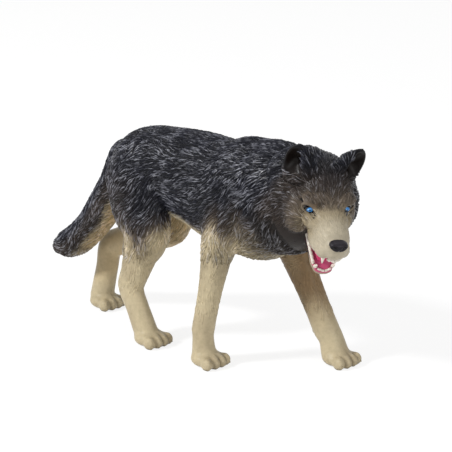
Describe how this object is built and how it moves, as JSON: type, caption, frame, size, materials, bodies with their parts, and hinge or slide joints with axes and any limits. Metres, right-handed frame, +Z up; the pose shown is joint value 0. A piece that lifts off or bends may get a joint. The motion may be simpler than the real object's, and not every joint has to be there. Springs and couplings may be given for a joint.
{
  "type": "wolf figurine",
  "caption": "Solid moulded figurine of a grey wolf walking with its head low and turned to its right, mouth open, fur carved in relief.",
  "frame": {"origin": "bottom centre of the bounding box, on the ground the paws stand on", "axes": "+X forward along the trunk towards the head, +Y to the wolf's left, +Z up"},
  "size_m": [0.1072, 0.031, 0.0599],
  "materials": {
    "painted_vinyl": "solid PVC with satin paint: charcoal coat dry-brushed grey on back, flanks and tail, cream legs, belly and muzzle",
    "eye_enamel": "bright blue painted eyes with dark rims",
    "nose_paint": "near-black painted nose and claws, slightly glossy",
    "mouth_paint": "pink painted tongue and mouth lining",
    "tooth_paint": "white painted teeth"
  },
  "bodies": {
    "root": {"wolf": "painted_vinyl"}
  },
  "joints": []
}
